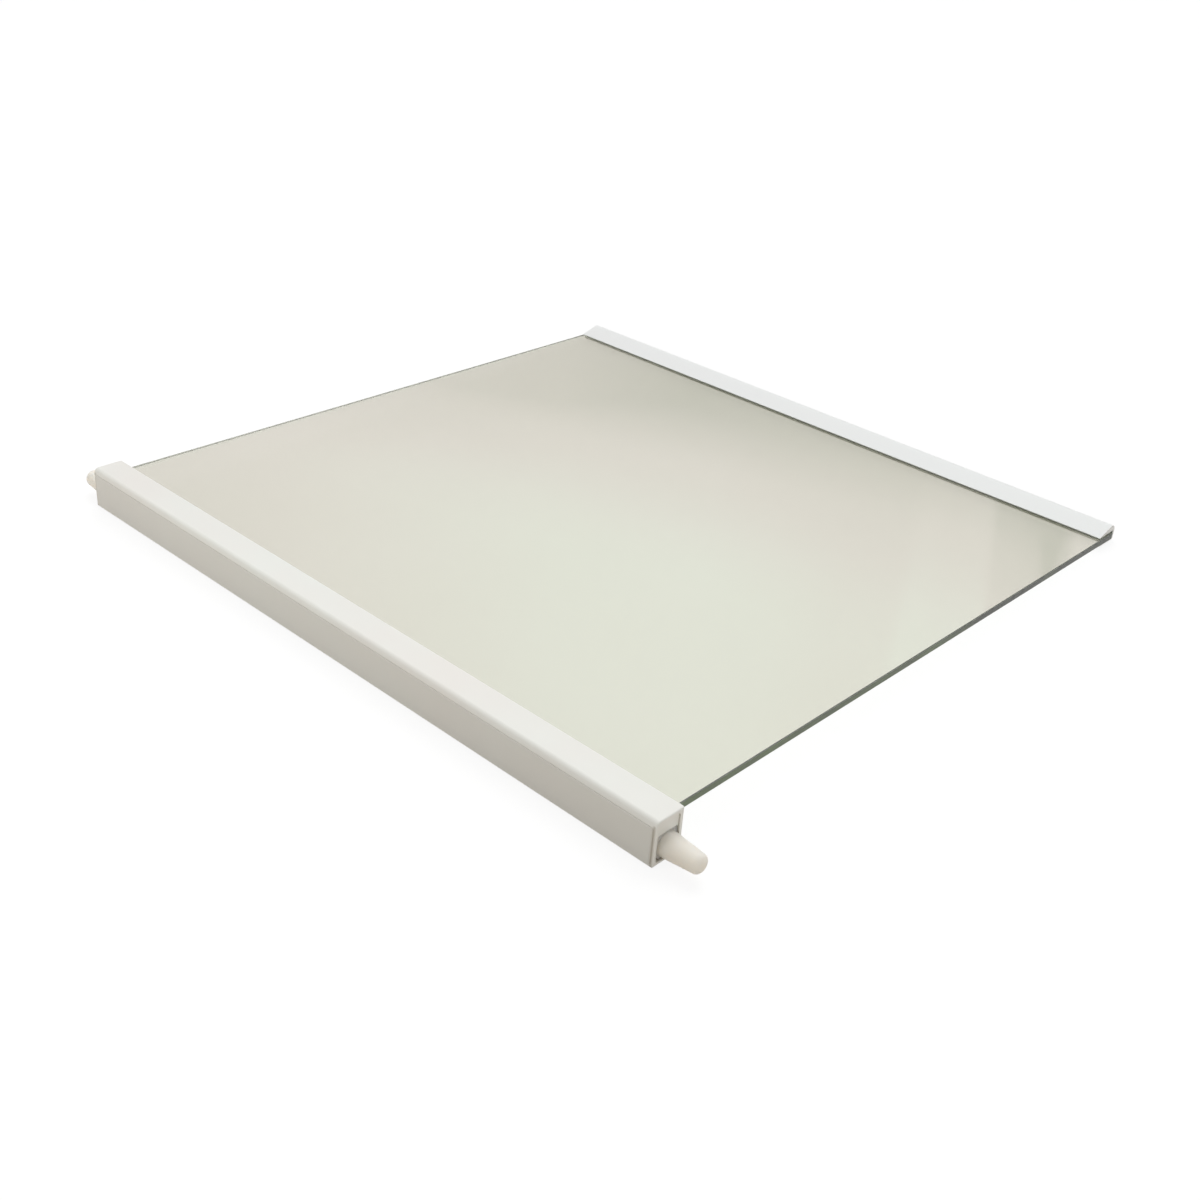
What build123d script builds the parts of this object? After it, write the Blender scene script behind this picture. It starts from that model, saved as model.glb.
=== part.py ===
from build123d import *
import os

# A fridge shelf: a sheet of glass in a moulded front rail, with a pin plug in each end of the rail
# and an extruded trim on the rear edge of the glass.
# Millimetres. +X runs to the right along the rail, +Y to the rear and +Z up.
# The origin is the middle of the shelf in plan, level with the underside of the rail.

# Glass sheet
glass_width = 408.8
glass_depth = 398.0
glass_thickness = 4.0
glass_corner_radius = 2.5
glass_arris = 0.4

# Pins, which set the width of the rail's cavity
pin_root_diameter = 12.2
pin_tip_diameter = 8.9
pin_length = 18.5
pin_nose_radius = 2.6
pin_shoulder = 0.1

# Plug blocks behind the pins
plug_gap = 0.1
plug_setback = 0.8
plug_end_gap = 0.5
plug_corner_radius = 1.9
plug_key = 2.2
plug_lead_in = 0.6

# Walls of the rail
front_wall = 2.2
rear_wall = 2.1
bottom_wall = 1.6
top_wall = 2.9
pocket_floor = 1.1
pocket_end_wall = 4.1
socket_end_wall = 1.8

# Clearances round the glass in its pocket
pocket_face_gap = 0.15
pocket_side_gap = 0.3
pocket_front_gap = 0.4

# Brow that leans back above the front panel, and rounding of the rail
brow_height = 3.0
brow_lean = 1.1
brow_radius = 2.4
rail_edge_radius = 0.7
rail_end_radius = 0.8

# Raised panel on the front of the rail
panel_proud = 0.4
panel_top_drop = 3.3
panel_bottom_rise = 1.0
panel_end_inset = 1.5
panel_corner_radius = 1.5
panel_edge_radius = 0.2

# Recess and plug socket in each end of the rail
recess_depth = 0.9
recess_front_wall = 1.4
recess_top_wall = 1.7
recess_corner_radius = 1.6
socket_depth = 15.0

# Ribs across the open underside of the rail
rib_count = 8
rib_thickness = 1.4
rib_setback = 2.0
cell_corner_radius = 1.0

# Rear trim, pushed over the rear edge of the glass
trim_inset = 1.0
trim_width = 17.5
trim_lip_gap = 0.12
trim_lip_thickness = 0.5
trim_lip_radius = 0.2
trim_root_gap = 0.75
trim_back_height = 6.1
trim_back_radius = 4.5
trim_web = 1.4
trim_rear_gap = 0.3
trim_foot_width = 16.0
trim_foot_thickness = 1.2
trim_foot_gap = 0.1
trim_foot_radius = 0.5
trim_front_corner_radius = 0.6
trim_rear_corner_radius = 2.4

# Grip ribs inside the trim
grip_count = 2
grip_width = 0.8
grip_gap = 0.1
grip_pitch = 5.0

# Section of the rail, built up from what it holds
plug_size = pin_root_diameter + 2 * pin_shoulder
cavity_size = plug_size + 2 * plug_gap
pocket_height = glass_thickness + 2 * pocket_face_gap
rail_depth = panel_proud + front_wall + cavity_size + rear_wall
rail_height = bottom_wall + cavity_size + pocket_floor + pocket_height + top_wall
rail_overhang = recess_depth + pocket_end_wall + pocket_side_gap
rail_length = glass_width + 2 * rail_overhang
rail_end_x = rail_length / 2

# Places along the depth
glass_inset = panel_proud + front_wall + pocket_front_gap
shelf_depth = glass_inset + glass_depth + trim_rear_gap + trim_web
front_y = -shelf_depth / 2
back_y = shelf_depth / 2
bar_front_y = front_y + panel_proud
rail_rear_y = front_y + rail_depth
cavity_front_y = bar_front_y + front_wall
cavity_mid_y = cavity_front_y + cavity_size / 2
glass_front_y = front_y + glass_inset
glass_mid_y = glass_front_y + glass_depth / 2

# Heights
socket_mid_z = bottom_wall + cavity_size / 2
socket_top_z = bottom_wall + cavity_size
pocket_bottom_z = socket_top_z + pocket_floor
pocket_mid_z = pocket_bottom_z + pocket_height / 2
glass_bottom_z = pocket_bottom_z + pocket_face_gap
glass_top_z = glass_bottom_z + glass_thickness


# Glass sheet with rounded corners and ground edges
with BuildPart() as glass_panel:
    with BuildSketch(Plane.XY.offset(glass_bottom_z)):
        with Locations((0, glass_mid_y)):
            RectangleRounded(glass_width, glass_depth, glass_corner_radius)
    extrude(amount=glass_thickness)
    faces_by_height = glass_panel.faces().sort_by(Axis.Z)
    chamfer(faces_by_height[0].edges() + faces_by_height[-1].edges(), glass_arris)


# Front rail: a bar with a raised front panel, hollowed for the glass, the plugs and the mould's core
panel_length = rail_length - 2 * panel_end_inset
panel_height = rail_height - panel_top_drop - panel_bottom_rise
panel_mid_z = panel_bottom_rise + panel_height / 2
pocket_length = glass_width + 2 * pocket_side_gap
pocket_depth = rail_rear_y - cavity_front_y
recess_front_y = bar_front_y + recess_front_wall
recess_width = cavity_front_y + cavity_size - recess_front_y
recess_height = rail_height - recess_top_wall - bottom_wall
channel_length = rail_length - 2 * (socket_depth + socket_end_wall)
cell_length = (channel_length - rib_count * rib_thickness) / (rib_count + 1)
cell_pitch = cell_length + rib_thickness

with BuildPart() as front_rail:
    # Bar with a soft brow that leans back, and lightly broken edges
    with BuildSketch(Plane.YZ) as bar:
        with BuildLine():
            Polyline(
                (bar_front_y, 0),
                (rail_rear_y, 0),
                (rail_rear_y, rail_height),
                (bar_front_y + brow_lean, rail_height),
                (bar_front_y, rail_height - brow_height),
                close=True,
            )
        make_face()
        corners = bar.vertices().sort_by(Axis.Y)
        brow, top_rear = corners[3:].sort_by(Axis.X)
        fillet(brow, brow_radius)
        fillet(corners[:3] + [top_rear], rail_edge_radius)
    extrude(amount=rail_end_x, both=True)
    faces_by_length = front_rail.faces().sort_by(Axis.X)
    fillet(faces_by_length[0].edges() + faces_by_length[-1].edges(), rail_end_radius)

    # Raised panel
    with BuildSketch(Plane.XZ.offset(-bar_front_y)):
        with Locations((0, panel_mid_z)):
            RectangleRounded(panel_length, panel_height, panel_corner_radius)
    extrude(amount=panel_proud)
    fillet(front_rail.faces().sort_by(Axis.Y)[0].edges(), panel_edge_radius)

    # Blind pocket for the front edge of the glass
    with BuildSketch(Plane.XZ.offset(-rail_rear_y)):
        with Locations((0, pocket_mid_z)):
            Rectangle(pocket_length, pocket_height)
    extrude(amount=pocket_depth, mode=Mode.SUBTRACT)

    # Shallow recess over the full height of each end, and the deeper socket below the glass
    for side in (-1, 1):
        rail_end = Plane.YZ.offset(side * rail_end_x)
        with BuildSketch(rail_end):
            with Locations((recess_front_y + recess_width / 2, bottom_wall + recess_height / 2)):
                RectangleRounded(recess_width, recess_height, recess_corner_radius)
        extrude(amount=-side * recess_depth, mode=Mode.SUBTRACT)
        with BuildSketch(rail_end):
            with Locations((cavity_mid_y, socket_mid_z)):
                RectangleRounded(cavity_size, cavity_size, recess_corner_radius)
        extrude(amount=-side * socket_depth, mode=Mode.SUBTRACT)

    # Open underside between the sockets, with ribs that stop short of the rim
    with BuildSketch(Plane.XY):
        with Locations((0, cavity_mid_y)):
            RectangleRounded(channel_length, cavity_size, cell_corner_radius)
    extrude(amount=rib_setback, mode=Mode.SUBTRACT)
    with BuildSketch(Plane.XY.offset(rib_setback)):
        with Locations((0, cavity_mid_y)):
            with GridLocations(cell_pitch, cavity_size, rib_count + 1, 1):
                RectangleRounded(cell_length, cavity_size, cell_corner_radius)
    extrude(amount=socket_top_z - rib_setback, mode=Mode.SUBTRACT)


def make_pin_plug(side):
    """Plug for one end of the rail, with its tapered pin: side is -1 for the left and 1 for the right."""
    face_x = rail_end_x - plug_setback
    block_length = socket_depth - plug_setback - plug_end_gap
    with BuildPart() as plug:
        # Block that fills the socket, keyed at its lower front edge, with a lead-in at its inner end
        with BuildSketch(Plane.YZ.offset(side * face_x)) as block:
            with Locations((cavity_mid_y, socket_mid_z)):
                Rectangle(plug_size, plug_size)
            key_corner, *corners = block.vertices().sort_by(lambda corner: corner.X + corner.Y)
            chamfer(key_corner, plug_key)
            fillet(corners, plug_corner_radius)
        extrude(amount=-side * block_length)
        inner_face = plug.faces().sort_by(Axis.X)[0 if side > 0 else -1]
        chamfer(inner_face.edges(), plug_lead_in)

        # Tapered pin with a rounded nose, turned about its own axis
        pin_plane = Plane(
            origin=(side * face_x, cavity_mid_y, socket_mid_z), x_dir=(side, 0, 0), z_dir=(0, -side, 0)
        )
        reach = plug_setback + pin_length
        with BuildSketch(pin_plane) as half_pin:
            with BuildLine():
                Polyline(
                    (0, 0), (0, pin_root_diameter / 2), (reach, pin_tip_diameter / 2), (reach, 0), close=True
                )
            make_face()
            nose = half_pin.vertices().group_by(Axis.X)[-1].sort_by(Axis.Y)[-1]
            fillet(nose, pin_nose_radius)
        revolve(axis=Axis(pin_plane.origin, pin_plane.x_dir))
    return plug.part


pin_plug_left = make_pin_plug(-1)
pin_plug_right = make_pin_plug(1)


# Rear trim: a channel with a sloping top flange that thins to a lip, a rounded back and a flat foot
trim_length = glass_width - 2 * trim_inset
web_front_y = back_y - trim_web
lip_y = back_y - trim_width
foot_y = back_y - trim_foot_width
lip_bottom_z = glass_top_z + trim_lip_gap
lip_top_z = lip_bottom_z + trim_lip_thickness
root_z = glass_top_z + trim_root_gap
foot_top_z = glass_bottom_z - trim_foot_gap
foot_bottom_z = foot_top_z - trim_foot_thickness

with BuildPart() as rear_trim:
    with BuildSketch(Plane.YZ) as channel:
        with BuildLine():
            Polyline(
                (foot_y, foot_bottom_z),
                (back_y, foot_bottom_z),
                (back_y, glass_top_z + trim_back_height),
                (lip_y, lip_top_z),
                (lip_y, lip_bottom_z),
                (web_front_y, root_z),
                (web_front_y, foot_top_z),
                (foot_y, foot_top_z),
                close=True,
            )
        make_face()
        crown = channel.vertices().sort_by(Axis.Y)[-1]
        fillet(crown, trim_back_radius)
        lip = channel.vertices().group_by(Axis.X)[0]
        fillet(lip, trim_lip_radius)
        foot = channel.vertices().group_by(Axis.Y)[0]
        fillet(foot, trim_foot_radius)
        for index in range(grip_count):
            grip_y = web_front_y - (index + 1) * grip_pitch
            with Locations((grip_y, glass_top_z + grip_gap)):
                Rectangle(grip_width, trim_root_gap, align=(Align.CENTER, Align.MIN))
    extrude(amount=trim_length / 2, both=True)

    # Rounded corners in plan
    with BuildSketch(Plane.XY.offset(foot_bottom_z)) as outline:
        with Locations((0, back_y - trim_width / 2)):
            Rectangle(trim_length, trim_width)
        corners = outline.vertices().sort_by(Axis.Y)
        fillet(corners[:2], trim_front_corner_radius)
        fillet(corners[2:], trim_rear_corner_radius)
    extrude(amount=glass_top_z + trim_back_height - foot_bottom_z, mode=Mode.INTERSECT)


# Write each piece to its own file
pieces = {
    "glass_panel": glass_panel.part,
    "front_rail": front_rail.part,
    "pin_plug_left": pin_plug_left,
    "pin_plug_right": pin_plug_right,
    "rear_trim": rear_trim.part,
}
os.makedirs("parts", exist_ok=True)
for name, piece in pieces.items():
    piece.label = name
    export_step(piece, f"parts/{name}.step")
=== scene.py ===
"""Looks of a fridge glass shelf: materials, soft studio light and the photograph's camera. Metres, +Z up."""

import math
from collections import namedtuple

import bpy
from mathutils import Matrix, Vector


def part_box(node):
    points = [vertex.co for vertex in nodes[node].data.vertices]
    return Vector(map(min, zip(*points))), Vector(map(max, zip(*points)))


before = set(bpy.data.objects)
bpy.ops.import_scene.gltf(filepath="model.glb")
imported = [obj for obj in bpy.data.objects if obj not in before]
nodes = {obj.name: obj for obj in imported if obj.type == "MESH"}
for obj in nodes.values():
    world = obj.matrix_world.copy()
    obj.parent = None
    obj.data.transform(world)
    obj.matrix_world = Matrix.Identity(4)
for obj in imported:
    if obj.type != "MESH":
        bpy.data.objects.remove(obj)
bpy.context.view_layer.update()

# Camera, as fitted to the photograph
IMAGE_SIDE_PX = 1200
FOCAL_LENGTH_PX = 1501.98
SENSOR_MM = 36.0
CLIP_NEAR = 0.01
CLIP_FAR = 100.0
EYE = Vector((0.498676, -0.574638, 0.390658))
VIEW_DOWN = Vector((0.384997, -0.319062, -0.866012))
VIEW_AHEAD = Vector((-0.573247, 0.652719, -0.495324))

# Floor: what the eye sees of it, and the warmer light that it sends back up
FLOOR_SIDE = 14.0
FLOOR_GAP = 0.0001
FLOOR_ALBEDO = 0.16
FLOOR_GLOW = 0.868
FLOOR_BOUNCE = (0.585, 0.53, 0.455)

# Light
WHITE = (1, 1, 1)
DOWN = Vector((0, 0, -1))
ORIGIN = Vector((0, 0, 0))
SKY_LEVEL = 0.42
BACKGROUND_LEVEL = 1.0
KEY_STRENGTH = 1.84
KEY_ANGLE = math.radians(50)
KEY_FROM = Vector((-0.45, 0.62, 1.0))
FILL_POWER = 0.68
FILL_SIZE = 0.3
FILL_COLOUR = (1.0, 0.975, 0.93)
FILL_PLACE = Vector((-0.15, -0.62, 0.24))
FILL_AIM = Vector((-0.10, -0.19, 0.01))
SIDE_POWER = 0.95
SIDE_SIZE = 0.4
SIDE_PLACE = Vector((0.95, -0.36, 0.26))
SIDE_AIM = Vector((0.2, -0.19, 0.01))

# The room that the glass mirrors, by direction. Rise and side are slopes against the rearward direction.
# The room is dim near the horizon behind the shelf. The horizon leans, and the left is less dim.
# Each stop gives a slope and the level there.
ROOM_REAR_FROM = 0.10
ROOM_REAR_FULL = 0.35
ROOM_LEAN = 0.15
ROOM_RISE = (
    (0.360, 0.0),
    (0.380, 0.04),
    (0.400, 0.14),
    (0.420, 0.36),
    (0.430, 0.455),
    (0.440, 0.56),
    (0.450, 0.645),
    (0.460, 0.69),
    (0.480, 0.74),
    (0.500, 0.80),
    (0.525, 0.89),
    (0.550, 0.955),
    (0.580, 1.0),
)
ROOM_LEFT = (
    (-1.20, 0.50),
    (-1.05, 0.46),
    (-0.95, 0.38),
    (-0.85, 0.20),
    (-0.75, 0.0),
)
ROOM_SIDE = (
    (-1.80, 0.55),
    (-1.54, 0.66),
    (-1.235, 0.83),
    (-1.05, 0.94),
    (-0.95, 1.01),
    (-0.75, 1.05),
    (-0.66, 1.0),
    (-0.60, 0.93),
    (-0.548, 0.925),
    (-0.536, 1.04),
    (-0.524, 1.055),
    (-0.510, 1.03),
    (-0.485, 1.04),
)

# A dim strip at the right of the room: how much is taken off the level there. The strip is tilted, its
# stops hold at the rise given below, and the dim horizon stands higher in it.
ROOM_STRIP = (
    (-0.480, 0.0),
    (-0.4755, 0.03),
    (-0.4725, 0.08),
    (-0.4695, 0.17),
    (-0.466, 0.20),
    (-0.460, 0.21),
    (-0.450, 0.23),
    (-0.440, 0.26),
    (-0.4325, 0.31),
    (-0.428, 0.42),
    (-0.4245, 0.60),
    (-0.420, 0.52),
    (-0.415, 0.36),
    (-0.4085, 0.20),
    (-0.402, 0.0),
)
ROOM_STRIP_LIFT = 0.05
ROOM_STRIP_TILT = 0.12
ROOM_STRIP_RISE = 0.53

# Casts of the room's light and dim parts, and the levels between which one turns into the other
ROOM_LIGHT = (0.92, 1.05, 1.02)
ROOM_DIM = (1.02, 0.88, 0.96)
ROOM_LIGHT_FROM = 0.72
ROOM_LIGHT_FULL = 1.02

# Noise: its usual range, and the stretch that leaves it as it is
NOISE_LOW = 0.3
NOISE_HIGH = 0.7
UNSTRETCHED = (1, 1, 1)

# Plastics: a linear colour, a second one that mottles it, grain, gloss and the strength of painted shade in
# creases
Finish = namedtuple("Finish", "colour mottle grain_scale grain_stretch grain_height roughness grime")
RAIL = Finish(
    colour=(0.82, 0.84, 0.797),
    mottle=(0.826, 0.806, 0.765),
    grain_scale=1600.0,
    grain_stretch=UNSTRETCHED,
    grain_height=0.00003,
    roughness=0.38,
    grime=0.8,
)
TRIM = Finish(
    colour=(0.92, 0.93, 0.92),
    mottle=(0.895, 0.91, 0.905),
    grain_scale=1600.0,
    grain_stretch=(0.02, 1, 1),
    grain_height=0.00002,
    roughness=0.34,
    grime=0.1,
)
NYLON = Finish(
    colour=(0.835, 0.79, 0.715),
    mottle=(0.82, 0.765, 0.685),
    grain_scale=1400.0,
    grain_stretch=UNSTRETCHED,
    grain_height=0.00003,
    roughness=0.45,
    grime=0.15,
)
MOTTLE_SCALE = 14.0
MOTTLE_DETAIL = 3.0
GLOSS_SCALE = 90.0
GLOSS_DETAIL = 4.0
GLOSS_SPREAD = 0.06
GRAIN_DETAIL = 3.0
GRAIN_STRENGTH = 0.35
PLASTIC_IOR = 1.5
NYLON_SCATTER = 0.85
NYLON_SCATTER_RADIUS = (1.0, 0.9, 0.8)
NYLON_SCATTER_SCALE = 0.016

# Painted shade in creases, where ambient occlusion finds them
PAINTED_SHADE_COLOUR = (0.46, 0.43, 0.37)
CREASE_REACH = 0.0012
CREASE_SAMPLES = 6
CREASE_DEEP = 0.50
CREASE_OPEN = 0.97

# Raised panel on the rail's front, painted darker as painted shade, and painted shade in the groove beside
# it by the distance from the rail's end
PANEL_PAINTED_SHADE = (0.58, 0.57, 0.53)
PANEL_PAINTED_SHADE_SHARE = 0.55
PANEL_STEP = 0.0002
GROOVE_PAINTED_SHADE = (
    (0.0002, 0.0),
    (0.0007, 0.45),
    (0.0011, 0.80),
    (0.0015, 0.75),
    (0.0021, 0.25),
    (0.0027, 0.0),
)
GROOVE_FLOOR = 0.0005
GROOVE_FADE = 0.0003

# Glass: the sheet
GLASS_TINT = (0.758, 0.740, 0.656)
GLASS_TINT_LOW = (0.746, 0.728, 0.639)
GLASS_TINT_SCALE = 6.0
GLASS_NOISE_DETAIL = 2.0
GLASS_IOR = 1.52
GLASS_ABSORPTION = (0.55, 0.80, 0.55)
GLASS_ABSORPTION_DENSITY = 8.0
GLASS_SHADOW = (0.95, 0.955, 0.94)

# Glass: the ground edge. Face and arris are told apart by how far the surface looks up or down.
GLASS_FACE_FROM = 0.85
GLASS_FACE_FULL = 0.98
GLASS_ARRIS_FROM = 0.2
GLASS_ARRIS_FULL = 0.6
# The edge's green is the glass's own; its change to dark at the rear is painted reflection, and the pale
# left side is painted light.
GLASS_EDGE = (0.42, 0.60, 0.25)
GLASS_EDGE_REAR_PAINTED_REFLECTION = (0.12, 0.13, 0.085)
GLASS_EDGE_LEFT_PAINTED_LIGHT = (0.74, 0.80, 0.68)
GLASS_EDGE_FRONT_Y = -0.20
GLASS_EDGE_REAR_Y = 0.16
GLASS_EDGE_PATCH = 0.16
GLASS_EDGE_PATCH_SCALE = 30.0
GLASS_EDGE_CLEAR = 0.8
GLASS_EDGE_ROUGHNESS = 0.35
GLASS_ARRIS = (0.86, 0.89, 0.81)


def look_along(eye, ahead, down):
    """Matrix of an object at eye whose -Z points ahead and whose Y points up in the picture."""
    back = -ahead.normalized()
    up = (-down - back * (-down).dot(back)).normalized()
    right = up.cross(back)
    turn = Matrix((right, up, back)).transposed()
    return Matrix.Translation(eye) @ turn.to_4x4()


def aim(place, target):
    """Matrix of a lamp at place that shines at target."""
    ahead = target - place
    return look_along(place, ahead, DOWN)


def add_camera():
    """The photograph's camera."""
    data = bpy.data.cameras.new("photo_camera")
    data.sensor_width = SENSOR_MM
    data.sensor_fit = "AUTO"
    data.lens = SENSOR_MM * FOCAL_LENGTH_PX / IMAGE_SIDE_PX
    data.clip_start = CLIP_NEAR
    data.clip_end = CLIP_FAR
    camera = bpy.data.objects.new("photo_camera", data)
    bpy.context.scene.collection.objects.link(camera)
    camera.matrix_world = look_along(EYE, VIEW_AHEAD, VIEW_DOWN)
    bpy.context.scene.camera = camera


class Shader:
    """A node tree with short calls to add and join nodes."""

    def __init__(self, tree):
        self.tree = tree
        tree.nodes.clear()

    def add(self, kind, **settings):
        """A new node with its settings."""
        node = self.tree.nodes.new(kind)
        for name, value in settings.items():
            setattr(node, name, value)
        return node

    def join(self, source, target):
        """A link from one socket to another."""
        self.tree.links.new(source, target)

    def split(self, vector):
        """The outputs X, Y and Z of a vector."""
        node = self.add("ShaderNodeSeparateXYZ")
        self.join(vector, node.inputs[0])
        return node.outputs

    def math(self, operation, first, second=None):
        """Result of a math operation on sockets or plain numbers."""
        node = self.add("ShaderNodeMath", operation=operation)
        for socket, value in zip(node.inputs, (first, second)):
            if value is None:
                continue
            if isinstance(value, (int, float)):
                socket.default_value = value
            else:
                self.join(value, socket)
        return node.outputs[0]

    def spread(self, value, low, high, from_low=NOISE_LOW, from_high=NOISE_HIGH):
        """Value mapped from its usual range to low and high, and held there."""
        node = self.add("ShaderNodeMapRange")
        node.inputs["From Min"].default_value = from_low
        node.inputs["From Max"].default_value = from_high
        node.inputs["To Min"].default_value = low
        node.inputs["To Max"].default_value = high
        self.join(value, node.inputs["Value"])
        return node.outputs[0]

    def curve(self, value, stops):
        """Grey level along value, through the stops given as (value, level)."""
        first, last = stops[0][0], stops[-1][0]
        ramp = self.add("ShaderNodeValToRGB")
        elements = ramp.color_ramp.elements
        while len(elements) < len(stops):
            elements.new(1.0)
        for element, (at, level) in zip(elements, stops):
            element.position = (at - first) / (last - first)
            element.color = (level, level, level, 1)
        self.join(self.spread(value, 0.0, 1.0, first, last), ramp.inputs["Fac"])
        return ramp.outputs["Color"]

    def mix_shaders(self, factor, first, second):
        """Node that goes from the first shader to the second."""
        node = self.add("ShaderNodeMixShader")
        self.join(factor, node.inputs[0])
        self.join(first.outputs[0], node.inputs[1])
        self.join(second.outputs[0], node.inputs[2])
        return node

    def mix_colours(self, factor, first, second):
        """Colour that goes from the first to the second, each a socket or a plain colour."""
        node = self.add("ShaderNodeMix", data_type="RGBA")
        self.join(factor, node.inputs["Factor"])
        colour_inputs = [socket for socket in node.inputs if socket.type == "RGBA"]
        for socket, value in zip(colour_inputs, (first, second)):
            if isinstance(value, tuple):
                socket.default_value = (*value, 1)
            else:
                self.join(value, socket)
        return [socket for socket in node.outputs if socket.type == "RGBA"][0]


def mirrored_or_through(shader, path):
    """1 for rays that a surface has mirrored or let through."""
    return shader.math("MAXIMUM", path.outputs["Is Glossy Ray"], path.outputs["Is Transmission Ray"])


def room_strip(shader, side, rise):
    """How much dimmer the room is in the strip at the right."""
    above = shader.math("SUBTRACT", rise, ROOM_STRIP_RISE)
    upright = shader.math("SUBTRACT", side, shader.math("MULTIPLY", above, ROOM_STRIP_TILT))
    return shader.curve(upright, ROOM_STRIP)


def room_level(shader):
    """How light the room is in each direction, for what the glass mirrors."""
    place = shader.add("ShaderNodeTexCoord")
    ahead = shader.split(place.outputs["Generated"])
    rear = shader.spread(ahead["Y"], 0.0, 1.0, ROOM_REAR_FROM, ROOM_REAR_FULL)
    rearward = shader.math("MAXIMUM", ahead["Y"], ROOM_REAR_FROM)
    side = shader.math("DIVIDE", ahead["X"], rearward)
    rise = shader.math("DIVIDE", ahead["Z"], rearward)
    strip = room_strip(shader, side, rise)
    leaning = shader.math("ADD", rise, shader.math("MULTIPLY", side, ROOM_LEAN))
    slant = shader.math("SUBTRACT", leaning, shader.math("MULTIPLY", strip, ROOM_STRIP_LIFT))
    height = shader.math("MAXIMUM", shader.curve(slant, ROOM_RISE), shader.curve(side, ROOM_LEFT))
    wall = shader.math("MULTIPLY", height, shader.curve(side, ROOM_SIDE))
    level = shader.math("MAXIMUM", shader.math("SUBTRACT", wall, strip), 0.0)
    dimness = shader.math("MULTIPLY", rear, shader.math("SUBTRACT", 1.0, level))
    return shader.math("SUBTRACT", 1.0, dimness)


def background(shader, colour, strength):
    """An even background."""
    node = shader.add("ShaderNodeBackground")
    node.inputs["Color"].default_value = (*colour, 1)
    node.inputs["Strength"].default_value = strength
    return node


def room_background(shader):
    """The room, with a cast that turns with its level."""
    node = shader.add("ShaderNodeBackground")
    level = room_level(shader)
    cast = shader.spread(level, 0.0, 1.0, ROOM_LIGHT_FROM, ROOM_LIGHT_FULL)
    shader.join(shader.mix_colours(cast, ROOM_DIM, ROOM_LIGHT), node.inputs["Color"])
    shader.join(level, node.inputs["Strength"])
    return node


def add_world():
    """An even pale sky for light, white for the eye and the room for the glass."""
    world = bpy.data.worlds.new("studio")
    bpy.context.scene.world = world
    world.use_nodes = True
    shader = Shader(world.node_tree)
    light = background(shader, WHITE, SKY_LEVEL)
    room = room_background(shader)
    white = background(shader, WHITE, BACKGROUND_LEVEL)
    path = shader.add("ShaderNodeLightPath")
    unseen = shader.mix_shaders(mirrored_or_through(shader, path), light, room)
    seen = shader.mix_shaders(path.outputs["Is Camera Ray"], unseen, white)
    output = shader.add("ShaderNodeOutputWorld")
    shader.join(seen.outputs[0], output.inputs["Surface"])


def floor_material():
    """White to the eye, with the soft shadows kept, and a plain pale surface for bounced light."""
    material = bpy.data.materials.new("pale_floor")
    material.use_nodes = True
    shader = Shader(material.node_tree)
    lit = shader.add("ShaderNodeBsdfDiffuse")
    lit.inputs["Color"].default_value = (FLOOR_ALBEDO,) * 3 + (1,)
    glow = shader.add("ShaderNodeEmission")
    glow.inputs["Strength"].default_value = FLOOR_GLOW
    seen = shader.add("ShaderNodeAddShader")
    shader.join(lit.outputs[0], seen.inputs[0])
    shader.join(glow.outputs[0], seen.inputs[1])
    bounce = shader.add("ShaderNodeBsdfDiffuse")
    bounce.inputs["Color"].default_value = (*FLOOR_BOUNCE, 1)
    path = shader.add("ShaderNodeLightPath")
    by_eye = shader.math("MAXIMUM", path.outputs["Is Camera Ray"], mirrored_or_through(shader, path))
    mix = shader.mix_shaders(by_eye, bounce, seen)
    output = shader.add("ShaderNodeOutputMaterial")
    shader.join(mix.outputs[0], output.inputs["Surface"])
    return material


def add_floor():
    """A floor that the rail and the foot of the rear trim both rest on, so it leans back a little."""
    rail_low, rail_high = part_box("front_rail")
    trim_low, trim_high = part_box("rear_trim")
    front = Vector((0, rail_high.y, rail_low.z))
    rear = Vector((0, trim_high.y, trim_low.z))
    slope = math.atan2(rear.z - front.z, rear.y - front.y)
    half = FLOOR_SIDE / 2
    corners = [(-half, -half, 0), (half, -half, 0), (half, half, 0), (-half, half, 0)]
    mesh = bpy.data.meshes.new("floor")
    mesh.from_pydata(corners, [], [(0, 1, 2, 3)])
    mesh.materials.append(floor_material())
    floor = bpy.data.objects.new("floor", mesh)
    bpy.context.scene.collection.objects.link(floor)
    floor.location = front - Vector((0, 0, FLOOR_GAP))
    floor.rotation_euler = (slope, 0, 0)


def add_lamp(name, kind, power, place, target):
    """A lamp that lights the shelf, and that the glass doesn't mirror or show."""
    data = bpy.data.lights.new(name, kind)
    data.energy = power
    lamp = bpy.data.objects.new(name, data)
    bpy.context.scene.collection.objects.link(lamp)
    lamp.matrix_world = aim(place, target)
    lamp.visible_glossy = False
    lamp.visible_transmission = False
    return lamp


def add_lamps():
    """A soft key from the rear left, and weak fills in front and at the front right."""
    key = add_lamp("key", "SUN", KEY_STRENGTH, KEY_FROM, ORIGIN)
    key.data.angle = KEY_ANGLE
    fill = add_lamp("fill", "AREA", FILL_POWER, FILL_PLACE, FILL_AIM)
    fill.data.size = FILL_SIZE
    fill.data.color = FILL_COLOUR
    side = add_lamp("side", "AREA", SIDE_POWER, SIDE_PLACE, SIDE_AIM)
    side.data.size = SIDE_SIZE
    side.data.color = FILL_COLOUR


def start_material(name):
    """A material with a Principled shader on its surface, and the object's own coordinates."""
    material = bpy.data.materials.new(name)
    material.use_nodes = True
    shader = Shader(material.node_tree)
    surface = shader.add("ShaderNodeBsdfPrincipled")
    output = shader.add("ShaderNodeOutputMaterial")
    shader.join(surface.outputs[0], output.inputs["Surface"])
    place = shader.add("ShaderNodeTexCoord")
    return material, shader, surface, place, output


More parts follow.
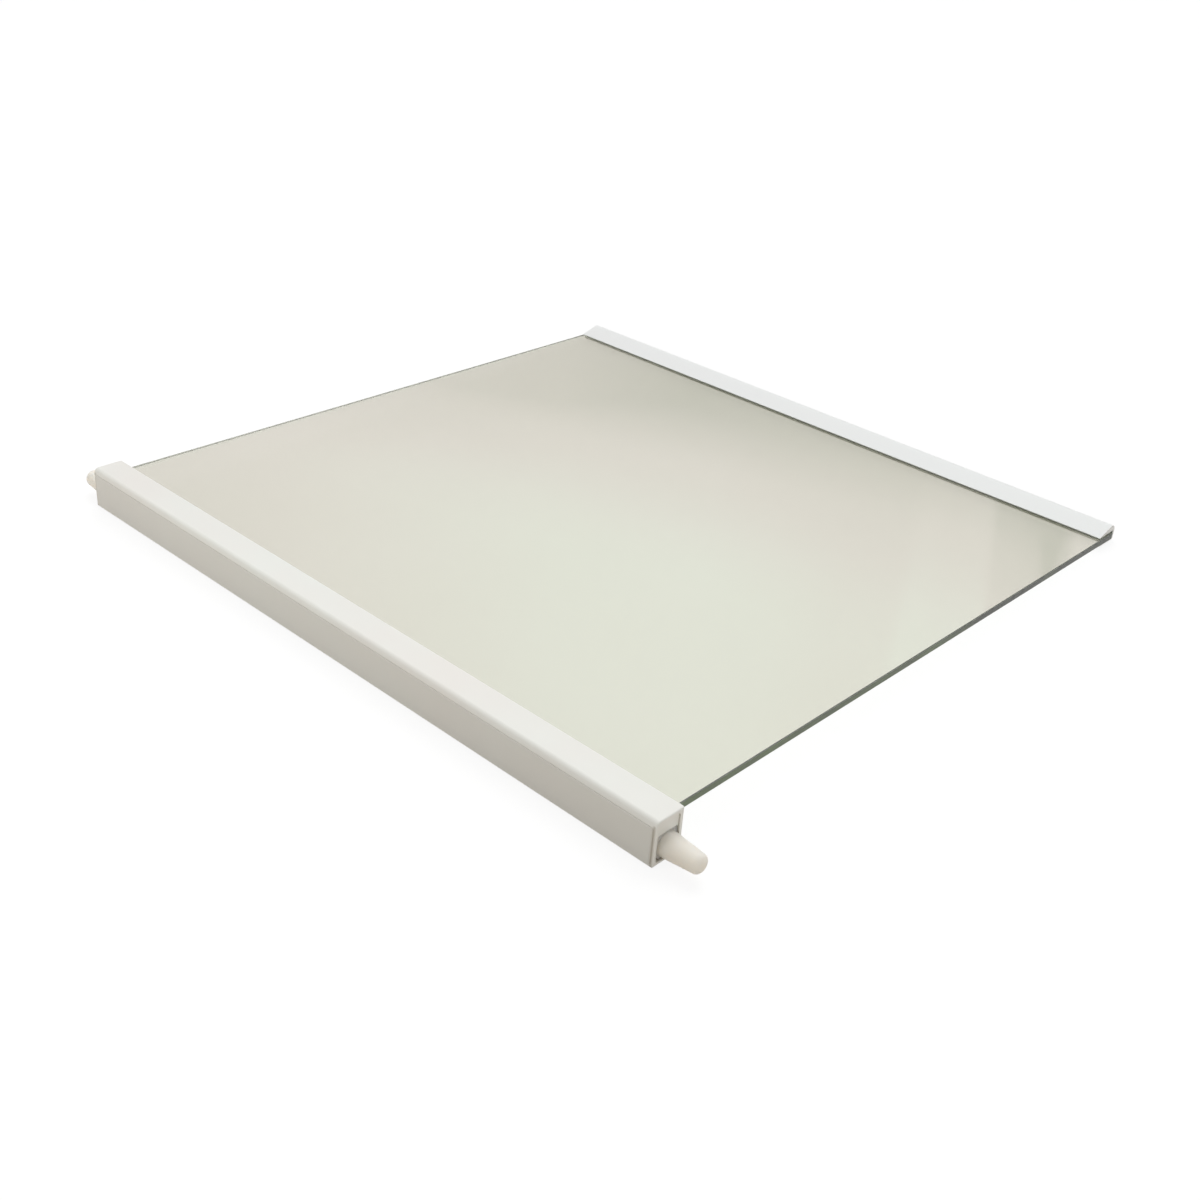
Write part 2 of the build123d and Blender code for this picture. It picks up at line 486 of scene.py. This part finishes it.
def noise(shader, place, scale, detail, stretch=UNSTRETCHED):
    """Noise in the object's own metres, drawn out along an axis where stretch is below 1 there."""
    mapping = shader.add("ShaderNodeMapping")
    mapping.inputs["Scale"].default_value = stretch
    shader.join(place.outputs["Object"], mapping.inputs["Vector"])
    node = shader.add("ShaderNodeTexNoise")
    node.inputs["Scale"].default_value = scale
    node.inputs["Detail"].default_value = detail
    shader.join(mapping.outputs[0], node.inputs["Vector"])
    return node.outputs["Fac"]


def front_panel(shader, place, base, corner):
    """Base colour with painted shade: the rail's raised panel painted a shade darker, and a dark painted
    line in the groove at each of its ends.

    Corner is the low corner of the rail's box.
    """
    spot = shader.split(place.outputs["Object"])
    # Painted shade: the raised panel is painted darker
    dull = shader.spread(spot["Y"], PANEL_PAINTED_SHADE_SHARE, 0.0, corner.y, corner.y + PANEL_STEP)
    panel = shader.mix_colours(dull, base, PANEL_PAINTED_SHADE)
    # Painted shade in the groove at each end of the panel, by the distance from the rail's end
    from_end = shader.math("SUBTRACT", -corner.x, shader.math("ABSOLUTE", spot["X"]))
    groove_y = corner.y + GROOVE_FLOOR
    in_front = shader.spread(spot["Y"], 1.0, 0.0, groove_y, groove_y + GROOVE_FADE)
    painted_shade_share = shader.math("MULTIPLY", shader.curve(from_end, GROOVE_PAINTED_SHADE), in_front)
    return shader.mix_colours(painted_shade_share, panel, PAINTED_SHADE_COLOUR)


def painted_crease_shade(shader, place, grime):
    """How much painted shade lies in narrow creases. Faces that look along the rail get none."""
    crease = shader.add("ShaderNodeAmbientOcclusion", samples=CREASE_SAMPLES)
    crease.inputs["Distance"].default_value = CREASE_REACH
    depth = shader.spread(crease.outputs["AO"], grime, 0.0, CREASE_DEEP, CREASE_OPEN)
    facing = shader.split(place.outputs["Normal"])
    endward = shader.math("ABSOLUTE", facing["X"])
    return shader.math("MULTIPLY", depth, shader.math("SUBTRACT", 1.0, endward))


def add_skin(shader, surface, place, finish):
    """Uneven gloss and a fine grain."""
    gloss = noise(shader, place, GLOSS_SCALE, GLOSS_DETAIL, finish.grain_stretch)
    sharpest = finish.roughness - GLOSS_SPREAD
    dullest = finish.roughness + GLOSS_SPREAD
    shader.join(shader.spread(gloss, sharpest, dullest), surface.inputs["Roughness"])
    grain = noise(shader, place, finish.grain_scale, GRAIN_DETAIL, finish.grain_stretch)
    bump = shader.add("ShaderNodeBump")
    bump.inputs["Strength"].default_value = GRAIN_STRENGTH
    bump.inputs["Distance"].default_value = finish.grain_height
    shader.join(grain, bump.inputs["Height"])
    shader.join(bump.outputs[0], surface.inputs["Normal"])


def plastic(name, finish, panel_corner=None):
    """White moulded or extruded plastic: faint mottling, painted shade in creases, a fine skin and uneven
    gloss.
    """
    material, shader, surface, place, _ = start_material(name)
    mottle = noise(shader, place, MOTTLE_SCALE, MOTTLE_DETAIL, finish.grain_stretch)
    base = shader.mix_colours(shader.spread(mottle, 0.0, 1.0), finish.colour, finish.mottle)
    if panel_corner is not None:
        base = front_panel(shader, place, base, panel_corner)
    # Painted shade in creases, darkening the base colour
    painted_shade_share = painted_crease_shade(shader, place, finish.grime)
    shader.join(shader.mix_colours(painted_shade_share, base, PAINTED_SHADE_COLOUR), surface.inputs["Base Color"])
    add_skin(shader, surface, place, finish)
    surface.inputs["IOR"].default_value = PLASTIC_IOR
    return material


def nylon(name):
    """Natural nylon: warm white, with a dull skin, and light scatters inside it."""
    material = plastic(name, NYLON)
    surface = material.node_tree.nodes["Principled BSDF"]
    surface.inputs["Subsurface Weight"].default_value = NYLON_SCATTER
    surface.inputs["Subsurface Radius"].default_value = NYLON_SCATTER_RADIUS
    surface.inputs["Subsurface Scale"].default_value = NYLON_SCATTER_SCALE
    return material


def glass_edge(shader, place, upright):
    """Colour of the ground edge: its own green, with a painted reflection that runs from green near the rail
    to dark at the rear. The left side is painted pale as painted light, and the arris is pale.
    """
    spot = shader.split(place.outputs["Object"])
    uneven = noise(shader, place, GLASS_EDGE_PATCH_SCALE, GLASS_NOISE_DETAIL)
    patch = shader.spread(uneven, -GLASS_EDGE_PATCH, GLASS_EDGE_PATCH)
    along = shader.math("ADD", spot["Y"], patch)
    # Painted reflection: green near the rail, dark at the rear
    rearward = shader.spread(along, 0.0, 1.0, GLASS_EDGE_FRONT_Y, GLASS_EDGE_REAR_Y)
    right = shader.mix_colours(rearward, GLASS_EDGE, GLASS_EDGE_REAR_PAINTED_REFLECTION)
    # Painted light: the left side is pale
    leftward = shader.math("LESS_THAN", spot["X"], 0.0)
    side = shader.mix_colours(leftward, right, GLASS_EDGE_LEFT_PAINTED_LIGHT)
    arris = shader.spread(upright, 0.0, 1.0, GLASS_ARRIS_FROM, GLASS_ARRIS_FULL)
    return shader.mix_colours(arris, side, GLASS_ARRIS)


def add_glass_inside(shader, surface, output):
    """Lets the lamps' light through, and takes some of it up inside the sheet."""
    clear = shader.add("ShaderNodeBsdfTransparent")
    clear.inputs["Color"].default_value = (*GLASS_SHADOW, 1)
    path = shader.add("ShaderNodeLightPath")
    mix = shader.mix_shaders(path.outputs["Is Shadow Ray"], surface, clear)
    shader.join(mix.outputs[0], output.inputs["Surface"])
    absorb = shader.add("ShaderNodeVolumeAbsorption")
    absorb.inputs["Color"].default_value = (*GLASS_ABSORPTION, 1)
    absorb.inputs["Density"].default_value = GLASS_ABSORPTION_DENSITY
    shader.join(absorb.outputs[0], output.inputs["Volume"])


def glass(name):
    """Clear float glass with a faint cast and ground edges."""
    material, shader, surface, place, output = start_material(name)
    facing = shader.split(place.outputs["Normal"])
    upright = shader.math("ABSOLUTE", facing["Z"])
    face = shader.spread(upright, 0.0, 1.0, GLASS_FACE_FROM, GLASS_FACE_FULL)
    uneven = shader.spread(noise(shader, place, GLASS_TINT_SCALE, GLASS_NOISE_DETAIL), 0.0, 1.0)
    cast = shader.mix_colours(uneven, GLASS_TINT, GLASS_TINT_LOW)
    edge = glass_edge(shader, place, upright)
    shader.join(shader.mix_colours(face, edge, cast), surface.inputs["Base Color"])
    clear_share = shader.spread(face, GLASS_EDGE_CLEAR, 1.0, 0.0, 1.0)
    shader.join(clear_share, surface.inputs["Transmission Weight"])
    roughness = shader.spread(face, GLASS_EDGE_ROUGHNESS, 0.0, 0.0, 1.0)
    shader.join(roughness, surface.inputs["Roughness"])
    surface.inputs["IOR"].default_value = GLASS_IOR
    add_glass_inside(shader, surface, output)
    return material


def dress(node, material):
    """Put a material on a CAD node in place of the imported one."""
    mesh = nodes[node].data
    mesh.materials.clear()
    mesh.materials.append(material)


bpy.context.scene.view_settings.view_transform = "Standard"
add_camera()
add_world()
add_floor()
add_lamps()

rail_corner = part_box("front_rail")[0]
dress("front_rail", plastic("rail_plastic", RAIL, rail_corner))
dress("rear_trim", plastic("trim_plastic", TRIM))
pin_nylon = nylon("pin_nylon")
dress("pin_plug_left", pin_nylon)
dress("pin_plug_right", pin_nylon)
dress("glass_panel", glass("shelf_glass"))
